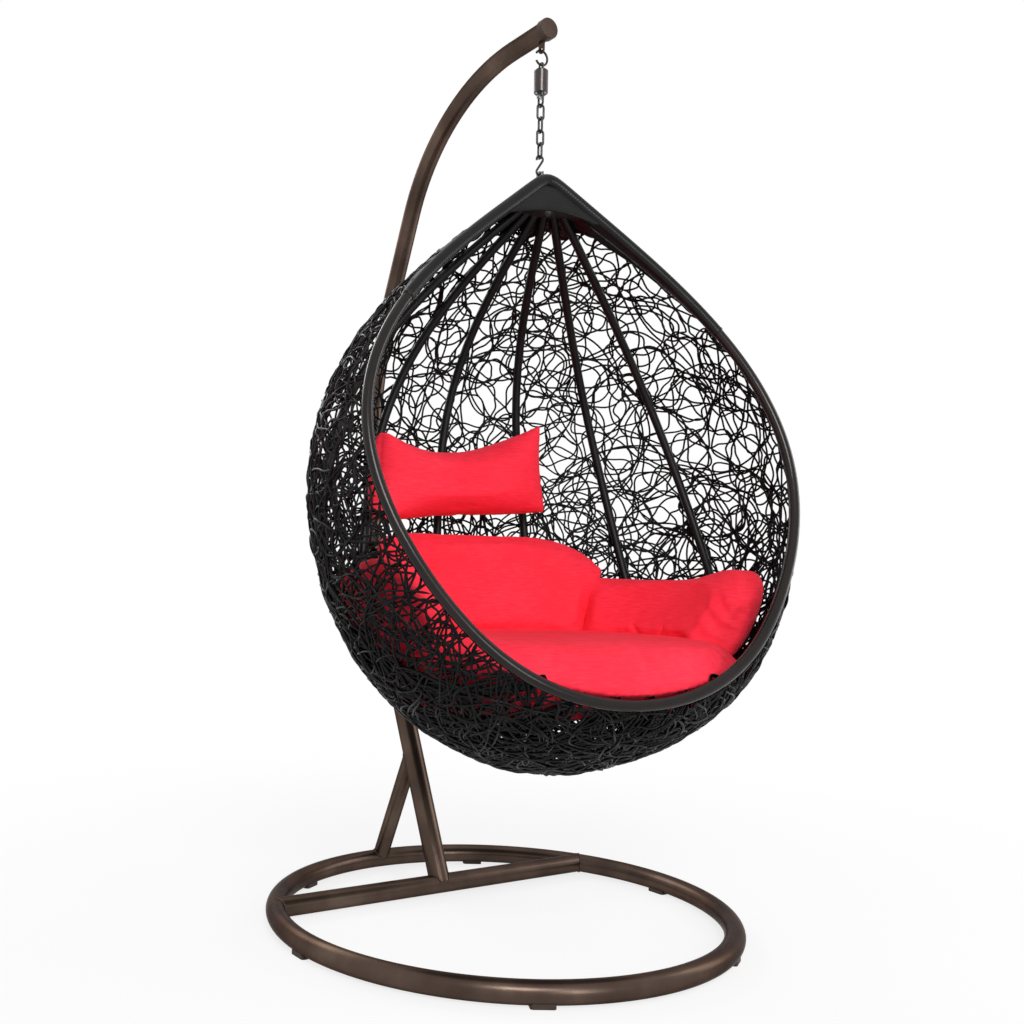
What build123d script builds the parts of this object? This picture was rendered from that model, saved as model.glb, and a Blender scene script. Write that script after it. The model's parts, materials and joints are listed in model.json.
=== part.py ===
from build123d import *
import os
from math import acos, atan2, cos, degrees, pi, radians, sin, sqrt, tan

# A woven egg chair that hangs from a leaning pole on a ring base.
# Millimetres, +Z up, front towards -Y. The origin is the centre of the base ring, on the floor.

# ---- stand ----
ring_radius = 479.0             # centreline of the base ring
ring_tube = 42.0                # diameter of the ring, crossbar and upper pole tube
tube_wall = 1.5
pad_lift = 3.0                  # rubber under the ring
pad_count = 6
pad_length = 46.0               # along the ring
pad_width = 30.0
pad_height = 13.0
crossbar_y = 220.0
lower_pole_wall = 2.9
strut_tube = 38.0
telescope_clearance = 0.1       # radial, upper pole inside lower pole
pole_lean = 24.0                # degrees back from vertical at the foot
foot_length = 633.0             # straight foot of the pole, from the crossbar centreline
sweep_radius = 1080.0           # big bend of the pole
joint_bottom_lean = 16.0        # lean of the pole where the upper pole starts
joint_top_lean = 10.0           # lean of the pole where the lower pole ends
sweep_end_lean = -22.3
mast_length = 212.4             # straight between the two bends
crook_radius = 450.0            # bend at the top
arm_lean = -88.0
arm_length = 119.0              # straight arm, to the end of its tube
strut_top_along = 0.487         # where the strut meets the foot of the pole, as a share of its length
joint_bolt = 8.0
joint_bolt_head = 13.0          # across flats
joint_bolt_head_height = 5.3
joint_nut_height = 6.5
end_cap_wall = 2.6
end_cap_face = 6.0
fit = 0.05                      # radial running or seating fit

# ---- hanging hardware ----
hang_y = -88.8                  # the hanging line
tab_width = 17.0
tab_thickness = 4.0
tab_bottom = 1883.2
tab_hole = 9.4
tab_hole_rise = 8.3             # hole centre above the bottom of the tab
link_gap = 0.3                  # air between two hooked wires
hook_wire = 5.0
hook_radius = 16.5              # centreline of the open ring
hook_gap_half = 30.0            # degrees, half of the opening
eye_wire = 4.0
eye_radius = 6.4
cover_bore = 28.0
cover_wall = 1.5
cover_length = 54.4
cover_top_wall = 3.0
cover_chamfer = 3.5
cover_lip = 1.5
seat_disc = 3.0
eye_to_cover = 8.6              # centre of the eye above the top of the cover
eye_flange = 10.0
eye_flange_height = 2.0
spring_wire = 3.0
spring_clearance = 1.5          # radial, spring inside the cover
spring_turns = 6
plunger_shank = 6.0
plunger_head = 12.0
plunger_head_height = 4.0
plunger_head_room = 1.0         # between the head and the eye's flange
washer_clearance = 0.5
washer_height = 2.5
swivel_gap = 1.0                # between the cover and the swivel
yoke_length = 24.0
yoke_width = 12.0
yoke_height = 6.0
yoke_leg = 9.5                  # half distance between the two legs of the swivel eye
yoke_drop = 29.0                # top of the yoke to the centre of its bottom wire
swivel_nut = 10.0               # across flats
swivel_nut_height = 4.0
thread_stub = 2.0               # bolt left over below the nut
link_radius = 7.5
link_straight = 19.3
link_count = 4
s_hook_reach = 43.3             # between the centres of its two bearing wires
s_hook_tip = 20.0               # degrees that each arc runs past level

# ---- basket ----
basket_turn = -12.2             # degrees about the hanging line, as the chair has come to rest
apex_ahead = 39.0               # apex in front of the hanging line
apex_z = 1583.0
egg_height = 1232.0
half_width_terms = (470.0, -70.0, -42.0, -16.0, -4.0)
half_depth_terms = (362.0, -58.0, -31.0, -20.0, -16.0, 8.0, -4.0)
egg_half_width = 508.0          # largest half width and half depth that those terms give
egg_half_depth = 380.0
lean_linear = -0.125            # forward lean of the egg's middle line, per millimetre down
lean_square = 6.4e-5
mouth_tilt = 18.57              # degrees, plane of the mouth, bottom forward
rim_tube_size = 22.0
rim_wall = 1.5
wrap_thickness = 1.0
rib_tube_size = 19.0
rib_wall = 1.2
rib_angle = 22.27               # degrees between ribs at the top
rib_spread = 0.073              # added share of that angle at half height
rib_start = 4.0                 # degrees round the rib's plane, from the apex, where its tube starts
rib_feet = (35.0, 105.0, 175.0) # where ribs land on the rim, from the middle
weave_inner = 2.0               # weave skin outside the egg surface
weave_outer = 6.0
weave_drop = 56.0               # open top of the skin below the apex
weave_to_rim = 0.3
plate_drop = 69.0               # underside of the apex plate below the apex
plate_thickness = 5.0
plate_inset = 3.0
bracket_thickness = 5.0
lug_radius = 11.0
lug_hole = 12.0
lug_hole_drop = 2.4             # hole centre under the centre of the hook's wire
lug_rise = 22.6                 # hole centre above the apex

# ---- cushions ----
pad_to_ribs = 1.0
pad_gap = 0.4                   # between neighbouring cushions
seat_bottom = 485.0
seat_top = 605.0
seat_to_rim = 7.0
back_half_width = 222.0
back_top = 832.0
back_thickness = 95.0
arm_top = 740.0
arm_thickness = 118.0
arm_front = -205.0
pillow_left = -362.0
pillow_right = 150.0
pillow_bottom = 865.0
pillow_top = 1075.0
pillow_thickness = 92.0

# ---- sizes that follow ----
lower_pole_tube = ring_tube + 2 * (telescope_clearance + lower_pole_wall)
cover_outer = cover_bore + 2 * cover_wall
spring_mean = cover_bore - 2 * spring_clearance - spring_wire
washer_outer = cover_bore - 2 * washer_clearance
rib_inset = rib_tube_size / 2   # ribs lie just inside the egg surface
pad_inset = rib_tube_size + pad_to_ribs
weave_edge = rim_tube_size / 2 + wrap_thickness + weave_to_rim
seat_behind_rim = rim_tube_size / 2 + seat_to_rim
plate_z = apex_z - plate_drop
weave_top = apex_z - weave_drop
lug_in_basket_z = apex_z + lug_rise

# ---- heights that follow ----
ring_z = pad_lift + ring_tube / 2
tab_hole_z = tab_bottom + tab_hole_rise
hook_top_z = tab_hole_z - tab_hole / 2 + link_gap + hook_wire / 2
hook_z = hook_top_z - hook_radius
hook_bottom_z = hook_z - hook_radius
eye_bar_z = hook_bottom_z + (hook_wire + eye_wire) / 2 + link_gap
eye_z = eye_bar_z - eye_radius
cover_top = eye_z - eye_to_cover
cover_bottom = cover_top - cover_length
spring_bottom = cover_bottom + cover_lip + seat_disc
flange_bottom = cover_top - cover_top_wall - eye_flange_height
head_bottom = flange_bottom - plunger_head_room - plunger_head_height
spring_top = head_bottom - washer_height
yoke_top = cover_bottom - swivel_gap
yoke_bottom = yoke_top - yoke_height
nut_bottom = yoke_bottom - swivel_nut_height
bail_z = yoke_top - yoke_drop
link_length = link_straight + 2 * link_radius
hook_wire_gap = hook_wire + link_gap
s_hook_top = bail_z - link_count * (link_length - hook_wire_gap) + hook_wire_gap
lug_wire_z = s_hook_top - s_hook_reach
lug_hole_z = lug_wire_z - lug_hole_drop
hang = Pos(0, hang_y, lug_hole_z - lug_in_basket_z) * Rot(0, 0, basket_turn)


def save(shape, name):
    export_step(shape, "parts/" + name + ".step")


def tube_ring(outer, wall):
    return Circle(outer / 2) - Circle(outer / 2 - wall)


def swept(section, path):
    start = Plane(origin=path @ 0, z_dir=path % 0)
    return sweep(start * section, path=path)


def rod(radius, start, end):
    line = Line(start, end)
    return extrude(Plane(origin=start, z_dir=line % 0) * Circle(radius), line.length)


def hex_prism(across_flats, height):
    return extrude(RegularPolygon(across_flats / 2, 6, major_radius=False), height)


# ---- the pole's line, in the plane x = 0 ----
def leaning(lean):
    return Vector(0, sin(radians(lean)), cos(radians(lean)))


def bend_centre(point, lean, radius):
    """Centre of a bend that turns the pole forward from a point where it leans by lean degrees."""
    return point + Vector(0, -cos(radians(lean)), sin(radians(lean))) * radius


def on_bend(centre, radius, lean):
    return centre + Vector(0, cos(radians(lean)), -sin(radians(lean))) * radius


def bend(centre, radius, lean_start, lean_end):
    middle = (lean_start + lean_end) / 2
    points = [on_bend(centre, radius, lean) for lean in (lean_start, middle, lean_end)]
    return ThreePointArc(*points)


foot = Vector(0, crossbar_y, ring_z)
foot_end = foot + leaning(pole_lean) * foot_length
sweep_centre = bend_centre(foot_end, pole_lean, sweep_radius)
sweep_end = on_bend(sweep_centre, sweep_radius, sweep_end_lean)
mast_end = sweep_end + leaning(sweep_end_lean) * mast_length
crook_centre = bend_centre(mast_end, sweep_end_lean, crook_radius)
crook_end = on_bend(crook_centre, crook_radius, arm_lean)
arm_end = crook_end + leaning(arm_lean) * arm_length


def lower_pole_line():
    return Curve() + [Line(foot, foot_end), bend(sweep_centre, sweep_radius, pole_lean, joint_top_lean)]


def upper_pole_line():
    return Curve() + [
        bend(sweep_centre, sweep_radius, joint_bottom_lean, sweep_end_lean),
        Line(sweep_end, mast_end),
        bend(crook_centre, crook_radius, sweep_end_lean, arm_lean),
        Line(crook_end, arm_end),
    ]


def ring_solid():
    return Pos(0, 0, ring_z) * Torus(ring_radius, ring_tube / 2)


def base_ring():
    return ring_solid() - Pos(0, 0, ring_z) * Torus(ring_radius, ring_tube / 2 - tube_wall)


def crossbar_solid(radius):
    half = sqrt(ring_radius**2 - crossbar_y**2)
    return rod(radius, (-half, crossbar_y, ring_z), (half, crossbar_y, ring_z))


def crossbar():
    bar = crossbar_solid(ring_tube / 2) - crossbar_solid(ring_tube / 2 - tube_wall)
    return bar - ring_solid()


def lower_pole_bore():
    return ring_tube / 2 + telescope_clearance


def joint_bolt_place():
    """The bolt that pins the two poles lies along X, half way up their overlap."""
    lean = (joint_bottom_lean + joint_top_lean) / 2
    return Plane(origin=on_bend(sweep_centre, sweep_radius, lean), x_dir=(0, 1, 0), z_dir=(1, 0, 0))


def joint_bolt_hole():
    return joint_bolt_place() * Cylinder(joint_bolt / 2 + fit, 2 * lower_pole_tube)


def lower_pole():
    section = Circle(lower_pole_tube / 2) - Circle(lower_pole_bore())
    pole = swept(section, lower_pole_line())
    return pole - crossbar_solid(ring_tube / 2) - joint_bolt_hole()


def upper_pole():
    return swept(tube_ring(ring_tube, tube_wall), upper_pole_line()) - joint_bolt_hole()


def rear_strut():
    top = foot + leaning(pole_lean) * foot_length * strut_top_along
    heel = Vector(0, ring_radius, ring_z)
    strut = rod(strut_tube / 2, heel, top) - rod(strut_tube / 2 - tube_wall, heel, top)
    return strut - ring_solid() - rod(lower_pole_tube / 2, foot, foot_end)


def pole_joint_bolt():
    reach = lower_pole_tube / 2
    shank_end = reach + joint_nut_height + thread_stub
    shank = Pos(0, 0, (shank_end - reach) / 2) * Cylinder(joint_bolt / 2, shank_end + reach)
    head = Pos(0, 0, -reach - joint_bolt_head_height) * hex_prism(joint_bolt_head, joint_bolt_head_height)
    return joint_bolt_place() * (shank + head)


def pole_joint_nut():
    nut = hex_prism(joint_bolt_head, joint_nut_height)
    nut -= Cylinder(joint_bolt / 2 + fit, 3 * joint_nut_height)
    return joint_bolt_place() * (Pos(0, 0, lower_pole_tube / 2) * nut)


def arm_end_cap():
    """A plastic cap pushed over the end of the arm, just clear of the hanger tab."""
    back = Vector(0, hang_y - tab_width / 2 - swivel_gap, 0)
    length = (back.Y - arm_end.Y) / -leaning(arm_lean).Y
    start = arm_end - leaning(arm_lean) * length
    end = arm_end + leaning(arm_lean) * end_cap_face
    cap_radius = ring_tube / 2 + end_cap_wall
    cap = rod(cap_radius, start, end)
    cap = fillet(cap.edges().filter_by(GeomType.CIRCLE).sort_by(Axis.Y)[0], end_cap_face / 2)
    return cap - rod(ring_tube / 2 + fit, start, arm_end)


def hanger_tab():
    height = crook_end.Z - tab_bottom
    centre_z = tab_bottom + height / 2
    plate = Plane(origin=(0, hang_y, centre_z), x_dir=(0, 1, 0), z_dir=(1, 0, 0)) * Rectangle(tab_width, height)
    tab = extrude(plate, tab_thickness / 2, both=True)
    low_edges = tab.edges().filter_by(Axis.X).sort_by(Axis.Z)[:2]
    tab = fillet(low_edges, tab_width * 0.45)
    tab -= rod(ring_tube / 2, crook_end, arm_end)
    return tab - rod(tab_hole / 2, (-tab_thickness, hang_y, tab_hole_z), (tab_thickness, hang_y, tab_hole_z))


def floor_pads():
    block = Pos(ring_radius, 0, pad_height / 2) * Box(pad_width, pad_length, pad_height)
    block = fillet(block.edges().filter_by(Axis.Z), pad_width / 5)
    block -= ring_solid()
    turn = 360 / pad_count
    return Part() + [Rot(0, 0, turn * index) * block for index in range(pad_count)]


# ---- hanging hardware ----
def top_hook():
    """An open ring of wire in the plane of X and Z, open on its left side."""
    start = 180 + hook_gap_half
    path = Plane(origin=(0, hang_y, hook_z), x_dir=(1, 0, 0), z_dir=(0, -1, 0)) * CenterArc(
        (0, 0), hook_radius, start, 360 - 2 * hook_gap_half
    )
    return swept(Circle(hook_wire / 2), path)


def on_line(shape):
    return Pos(0, hang_y, 0) * shape


def spring_top_eye():
    eye = Pos(0, 0, eye_z) * Rot(0, 90, 0) * Torus(eye_radius, eye_wire / 2)
    stem_top = eye_z - eye_radius
    stem = rod(eye_wire / 2, (0, 0, flange_bottom), (0, 0, stem_top))
    flange = rod(eye_flange / 2, (0, 0, flange_bottom), (0, 0, flange_bottom + eye_flange_height))
    return on_line(eye + stem + flange)


def spring_cover():
    radius = cover_outer / 2
    body = rod(radius, (0, 0, cover_bottom), (0, 0, cover_top))
    rims = body.edges().filter_by(GeomType.CIRCLE).sort_by(Axis.Z)
    body = chamfer(rims[-1], cover_chamfer)
    body = chamfer(body.edges().filter_by(GeomType.CIRCLE).sort_by(Axis.Z)[0], cover_lip)
    body -= rod(cover_bore / 2, (0, 0, cover_bottom + cover_lip), (0, 0, cover_top - cover_top_wall))
    body -= rod(cover_bore / 2 - cover_lip, (0, 0, cover_bottom - 1), (0, 0, cover_bottom + cover_lip))
    body -= rod(eye_wire / 2 + fit, (0, 0, flange_bottom), (0, 0, cover_top + 1))
    return on_line(body)


def spring_seat():
    disc = rod(cover_bore / 2 - fit, (0, 0, cover_bottom + cover_lip), (0, 0, spring_bottom))
    return on_line(disc - rod(plunger_shank / 2 + fit, (0, 0, cover_bottom), (0, 0, spring_bottom + 1)))


def bounce_spring():
    height = spring_top - spring_bottom - spring_wire
    path = Helix(pitch=height / spring_turns, height=height, radius=spring_mean / 2)
    coil = swept(Circle(spring_wire / 2), path)
    return on_line(Pos(0, 0, spring_bottom + spring_wire / 2) * coil)


def plunger_bolt():
    shank = rod(plunger_shank / 2, (0, 0, nut_bottom - thread_stub), (0, 0, head_bottom))
    head = Pos(0, 0, head_bottom) * hex_prism(plunger_head, plunger_head_height)
    return on_line(shank + head)


def plunger_washer():
    washer = rod(washer_outer / 2, (0, 0, spring_top), (0, 0, head_bottom))
    return on_line(washer - rod(plunger_shank / 2 + fit, (0, 0, spring_top - 1), (0, 0, head_bottom + 1)))


def swivel_nut_part():
    nut = Pos(0, 0, nut_bottom) * hex_prism(swivel_nut, swivel_nut_height)
    return on_line(nut - rod(plunger_shank / 2 + fit, (0, 0, nut_bottom - 1), (0, 0, yoke_bottom + 1)))


def swivel_eye():
    """A yoke that turns on the plunger bolt, with a bail of wire under it."""
    yoke = Pos(0, 0, yoke_bottom + yoke_height / 2) * Box(yoke_width, yoke_length, yoke_height)
    yoke = fillet(yoke.edges().filter_by(Axis.Z), yoke_width * 0.45)
    yoke -= rod(plunger_shank / 2 + fit, (0, 0, yoke_bottom - 1), (0, 0, yoke_top + 1))
    leg_end = bail_z + yoke_leg
    side = Plane(origin=(0, 0, leg_end), x_dir=(0, 1, 0), z_dir=(1, 0, 0))
    leg_top = yoke_bottom + yoke_height / 2 - leg_end
    path = Curve() + [
        Line((-yoke_leg, leg_top), (-yoke_leg, 0)),
        CenterArc((0, 0), yoke_leg, 180, 180),
        Line((yoke_leg, 0), (yoke_leg, leg_top)),
    ]
    return hang * (yoke + swept(Circle(hook_wire / 2), side * path))


def chain_link(top_wire_z, turned):
    """One welded link, its top wire centred at top_wire_z, turned by 90 degrees or not."""
    middle = top_wire_z - link_length / 2
    half = link_straight / 2
    path = Curve() + [
        CenterArc((0, half), link_radius, 0, 180),
        Line((-link_radius, half), (-link_radius, -half)),
        CenterArc((0, -half), link_radius, 180, 180),
        Line((link_radius, -half), (link_radius, half)),
    ]
    face_on = Plane(origin=(0, 0, middle), x_dir=(1, 0, 0), z_dir=(0, -1, 0))
    link = swept(Circle(hook_wire / 2), face_on * path)
    return hang * (Rot(0, 0, 90 if turned else 0) * link)


def link_top(index):
    return bail_z + hook_wire_gap - index * (link_length - hook_wire_gap)


def basket_hook():
    """An S of wire: two half turns joined by the line that touches both."""
    top_arc = s_hook_top - link_radius
    low_arc = lug_wire_z + link_radius
    touch = degrees(acos(2 * link_radius / (top_arc - low_arc)))
    leave_top = touch - 90
    leave_low = touch + 90
    arc_top = CenterArc((0, top_arc), link_radius, leave_top, 180 + s_hook_tip - leave_top)
    arc_low = CenterArc((0, low_arc), link_radius, leave_low, 360 + s_hook_tip - leave_low)
    path = Curve() + [arc_top, Line(arc_top @ 0, arc_low @ 0), arc_low]
    face_on = Plane(origin=(0, 0, 0), x_dir=(1, 0, 0), z_dir=(0, -1, 0))
    edges = (face_on * path).edges()
    wire = Wire(edges)
    return hang * swept(Circle(hook_wire / 2), wire)


# ---- the egg, in the basket's own frame: x across, y behind the hanging line ----
def series(terms, angle):
    return sum(term * sin((index + 1) * angle) for index, term in enumerate(terms))


def egg_section(z, inset):
    """Half width, half depth and middle of the level section at height z, inset from the egg surface."""
    depth = apex_z - z
    share = (depth - inset) / (egg_height - 2 * inset)
    angle = acos(1 - 2 * min(max(share, 0), 1))
    half_width = series(half_width_terms, angle) * (1 - inset / egg_half_width)
    half_depth = series(half_depth_terms, angle) * (1 - inset / egg_half_depth)
    return half_width, half_depth, -apex_ahead + lean_linear * depth + lean_square * depth**2


def inside_egg(point, inset):
    half_width, half_depth, middle = egg_section(point.Z, inset)
    if half_width < 1e-6:
        return False
    return (point.X / half_width) ** 2 + ((point.Y - middle) / half_depth) ** 2 < 1


def egg_solid(inset, top=None):
    """Loft of level ellipses, cut flat near both poles, or at the height top."""
    highest = apex_z - inset
    lowest = highest - egg_height + 2 * inset
    first = 0.06 * pi
    if top is not None:
        first = acos(1 - 2 * (highest - top) / (highest - lowest))
    last = 0.965 * pi
    steps = 22
    sections = []
    for index in range(steps + 1):
        angle = first + (last - first) * index / steps
        z = highest - (highest - lowest) * (1 - cos(angle)) / 2
        half_width, half_depth, middle = egg_section(z, inset)
        sections.append(Pos(0, middle, z) * Ellipse(half_width, half_depth))
    return loft(sections)


def behind_mouth(distance):
    """A large block behind the plane of the mouth, moved back by distance."""
    size = 3 * egg_height
    plane = Plane(origin=(0, -apex_ahead, apex_z), z_dir=(0, cos(radians(mouth_tilt)), -sin(radians(mouth_tilt))))
    return plane * (Pos(0, 0, size / 2 + distance) * Box(size, size, size))


# ---- tubes that follow the egg, as tangent arcs in one plane ----
def egg_point(centre, direction, inset):
    """Where a ray from centre leaves the inset egg."""
    near = 0.0
    far = egg_height
    for _ in range(50):
        half = (near + far) / 2
        if inside_egg(centre + direction * half, inset):
            near = half
        else:
            far = half
    return centre + direction * near


def plane_outline(centre, across, up, angles, inset):
    """Points of a plane section of the egg, with the unit tangent at each; angles turn from up to across."""
    small = 0.4
    outline = []
    for angle in angles:
        near = [radians(angle + shift) for shift in (-small, 0, small)]
        before, point, after = [
            egg_point(centre, up * cos(turn) + across * sin(turn), inset) for turn in near
        ]
        outline.append((point, (after - before).normalized()))
    return outline


def two_arcs(start, start_tangent, end, end_tangent):
    """A pair of arcs that leaves start and reaches end along the given tangents."""
    chord = end - start
    total = start_tangent + end_tangent
    bend_share = 2 * (1 - start_tangent.dot(end_tangent))
    along = chord.dot(total)
    reach = (sqrt(along**2 + bend_share * chord.dot(chord)) - along) / bend_share
    first = start + start_tangent * reach
    second = end - end_tangent * reach
    meet = (first + second) / 2
    return [
        TangentArc(start, meet, tangent=start_tangent),
        TangentArc(meet, end, tangent=second - first),
    ]


def outline_wire(outline):
    edges = []
    for (start, start_tangent), (end, end_tangent) in zip(outline, outline[1:]):
        edges += two_arcs(start, start_tangent, end, end_tangent)
    return Wire(edges)


# ---- basket ----
rim_steps = 13                  # spans on each half of the rim, closer together near the apex
wrap_steps = 7                  # spans that the wrap covers
rib_steps = 11
across = Vector(1, 0, 0)
apex = Vector(0, -apex_ahead, apex_z)
mouth_down = Vector(0, -sin(radians(mouth_tilt)), -cos(radians(mouth_tilt)))
mouth_centre = apex + mouth_down * egg_height * 0.5


def rim_wire(steps):
    """The right half of the rim, from the apex down, over the given number of spans."""
    angles = [180 * (index / rim_steps) ** 2 for index in range(steps + 1)]
    return outline_wire(plane_outline(mouth_centre, across, -mouth_down, angles, 0))


def both_sides(shape):
    return shape + mirror(shape, about=Plane.YZ)


def rim_solid():
    return both_sides(swept(Circle(rim_tube_size / 2), rim_wire(rim_steps)))


def rim_tube():
    return both_sides(swept(tube_ring(rim_tube_size, rim_wall), rim_wire(rim_steps)))


def rim_wrap(plate, bracket):
    outer = rim_tube_size / 2 + wrap_thickness
    sleeve = swept(Circle(outer) - Circle(rim_tube_size / 2 + fit / 2), rim_wire(wrap_steps))
    return both_sides(sleeve) - plate - bracket


def rib_outline(angle, foot_across):
    """A rib lies in the plane through the apex, a point at mid height and its foot on the rim."""
    top = apex - Vector(0, 0, rib_inset)
    mid_z = apex_z - egg_height / 2
    half_width, half_depth, middle = egg_section(mid_z, rib_inset)
    turn = radians(angle * (1 + rib_spread))
    rear = Vector(half_width * sin(turn), middle + half_depth * cos(turn), mid_z)
    foot_point = egg_point(mouth_centre + across * foot_across, mouth_down, rib_inset)
    centre = (top + rear + foot_point) / 3
    normal = (rear - top).cross(foot_point - top).normalized()
    up = (top - centre).normalized()
    rearward = normal.cross(up)
    if rearward.dot(rear - centre) < 0:
        rearward = -rearward
    to_foot = foot_point - centre
    last = degrees(atan2(to_foot.dot(rearward), to_foot.dot(up))) % 360
    angles = [rib_start + (last - rib_start) * index / rib_steps for index in range(rib_steps + 1)]
    return plane_outline(centre, rearward, up, angles, rib_inset)


def rib(angle, foot_across, rim):
    """A rib to the right, cut flat under the apex plate and coped on the rim at its foot."""
    tube = swept(tube_ring(rib_tube_size, rib_wall), outline_wire(rib_outline(angle, foot_across)))
    below_plate = Pos(0, 0, plate_z - egg_height) * Box(4 * egg_half_width, 4 * egg_half_width, 2 * egg_height)
    return (tube & below_plate & behind_mouth(rib_tube_size / 4)) - rim


def apex_plate(rim):
    half_width, half_depth, middle = egg_section(plate_z, plate_inset)
    disc = extrude(Pos(0, middle, plate_z) * Ellipse(half_width, half_depth), plate_thickness)
    return (disc & behind_mouth(0)) - rim


def apex_bracket(rim):
    """An upright plate from the apex plate and the rim to the lug that hangs on the basket hook."""
    foot_z = plate_z + plate_thickness
    corner = rib_tube_size / 4
    rounds = [
        Pos(0, lug_in_basket_z) * Circle(lug_radius),
        Pos(-apex_ahead, apex_z) * Circle(corner),
        Pos(-apex_ahead - corner, foot_z + corner) * Circle(corner),
        Pos(-apex_ahead / 2, foot_z + corner) * Circle(corner),
    ]
    side = Plane(origin=(0, 0, 0), x_dir=(0, 1, 0), z_dir=(1, 0, 0))
    outline = make_hull([edge for shape in rounds for edge in shape.edges()])
    outline -= Pos(0, lug_in_basket_z) * Circle(lug_hole / 2)
    return extrude(side * outline, bracket_thickness / 2, both=True) - rim


def weave_shell():
    skin = egg_solid(-weave_outer, weave_top) - egg_solid(-weave_inner, weave_top)
    return skin & behind_mouth(weave_edge)


# ---- cushions ----
def block(left, right, front, back, bottom, top):
    size = (right - left, back - front, top - bottom)
    centre = ((left + right) / 2, (front + back) / 2, (bottom + top) / 2)
    return Pos(*centre) * Box(*size)


def wall_pad(thickness, bounds):
    """The part of a layer along the inside of the basket that lies within a block."""
    layer = egg_solid(pad_inset) - egg_solid(pad_inset + thickness)
    return layer & bounds


def seat_pad():
    slab = block(-egg_half_width, egg_half_width, -egg_half_width, egg_half_depth, seat_bottom, seat_top)
    return egg_solid(pad_inset) & slab & behind_mouth(seat_behind_rim)


def back_pad():
    width = back_half_width
    return wall_pad(back_thickness, block(-width, width, 0, egg_half_width, seat_top + pad_gap, back_top))


def arm_pad():
    start = back_half_width + pad_gap
    bounds = block(start, egg_half_width, arm_front, egg_half_width, seat_top + pad_gap, arm_top)
    return wall_pad(arm_thickness, bounds)


def head_pillow():
    bounds = block(pillow_left, pillow_right, 0, egg_half_width, pillow_bottom, pillow_top)
    return wall_pad(pillow_thickness, bounds)


def left_copy(shape):
    return mirror(shape, about=Plane.YZ)


def stand_nodes():
    return {
        "base_ring": base_ring(),
        "crossbar": crossbar(),
        "lower_pole": lower_pole(),
        "rear_strut": rear_strut(),
        "upper_pole": upper_pole(),
        "pole_joint_bolt": pole_joint_bolt(),
        "pole_joint_nut": pole_joint_nut(),
        "arm_end_cap": arm_end_cap(),
        "hanger_tab": hanger_tab(),
        "floor_pads": floor_pads(),
    }


def hardware_nodes():
    nodes = {
        "top_hook": top_hook(),
        "spring_top_eye": spring_top_eye(),
        "spring_cover": spring_cover(),
        "spring_seat": spring_seat(),
        "bounce_spring": bounce_spring(),
        "plunger_bolt": plunger_bolt(),
        "plunger_washer": plunger_washer(),
        "swivel_nut": swivel_nut_part(),
        "swivel_eye": swivel_eye(),
        "basket_hook": basket_hook(),
    }
    for index in range(link_count):
        nodes[f"chain_link_{index + 1}"] = chain_link(link_top(index), index % 2 == 1)
    return nodes


def basket_nodes():
    rim = rim_solid()
    plate = apex_plate(rim)
    bracket = apex_bracket(rim)
    nodes = {
        "rim_tube": rim_tube(),
        "rim_wrap": rim_wrap(plate, bracket),
        "apex_plate": plate,
        "apex_bracket": bracket,
        "weave_shell": weave_shell(),
        "seat_pad": seat_pad(),
        "back_pad": back_pad(),
        "head_pillow": head_pillow(),
    }
    for index, place in enumerate(("inner", "middle", "outer")):
        right = rib(rib_angle * (index + 0.5), rib_feet[index], rim)
        nodes[f"right_{place}_rib"] = right
        nodes[f"left_{place}_rib"] = left_copy(right)
    arm = arm_pad()
    nodes["right_arm_pad"] = arm
    nodes["left_arm_pad"] = left_copy(arm)
    return {name: hang * shape for name, shape in nodes.items()}


os.makedirs("parts", exist_ok=True)
for nodes in (stand_nodes(), hardware_nodes(), basket_nodes()):
    for name, shape in nodes.items():
        save(shape, name)
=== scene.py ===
import json
from math import cos, pi, radians, sin, tan

import bmesh
import bpy
import numpy as np
from mathutils import Matrix, Vector
from mathutils.kdtree import KDTree


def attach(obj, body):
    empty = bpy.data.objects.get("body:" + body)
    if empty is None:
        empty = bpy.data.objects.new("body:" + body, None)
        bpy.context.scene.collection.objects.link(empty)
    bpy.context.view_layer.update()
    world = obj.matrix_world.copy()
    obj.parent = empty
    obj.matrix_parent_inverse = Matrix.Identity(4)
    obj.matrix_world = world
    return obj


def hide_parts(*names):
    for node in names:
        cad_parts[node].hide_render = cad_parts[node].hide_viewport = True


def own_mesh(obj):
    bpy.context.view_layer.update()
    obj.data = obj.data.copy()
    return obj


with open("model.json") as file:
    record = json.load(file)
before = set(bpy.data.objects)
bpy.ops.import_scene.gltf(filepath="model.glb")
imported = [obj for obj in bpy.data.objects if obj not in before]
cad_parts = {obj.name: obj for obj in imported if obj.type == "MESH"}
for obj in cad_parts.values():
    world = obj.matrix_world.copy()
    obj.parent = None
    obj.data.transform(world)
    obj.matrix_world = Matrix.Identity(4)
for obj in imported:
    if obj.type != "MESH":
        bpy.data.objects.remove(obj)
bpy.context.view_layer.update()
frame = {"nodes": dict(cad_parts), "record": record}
random = np.random.default_rng(7)
MM = 0.001

# ---- sizes of the stand, millimetres from the middle of its base ring: x across, y back, z up ----
RING_Z = 24.0
RING_RADIUS = 479.0             # centreline of the base ring
TUBE_RADIUS = 21.0              # ring and crossbar
POLE_RADIUS = 24.0              # lower pole
STRUT_RADIUS = 19.0
POLE_LEAN = radians(24.0)       # back from vertical, at the foot of the pole
STRUT_UP = 308.3                # where the strut meets the pole, along the pole from the crossbar
FOOT = np.array([0.0, 220.0, RING_Z])   # where the pole leaves the crossbar
POLE_AXIS = np.array([0.0, sin(POLE_LEAN), cos(POLE_LEAN)])
STRUT_HEEL = np.array([0.0, RING_RADIUS, RING_Z])
STRUT_TOP = FOOT + POLE_AXIS * STRUT_UP

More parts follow.
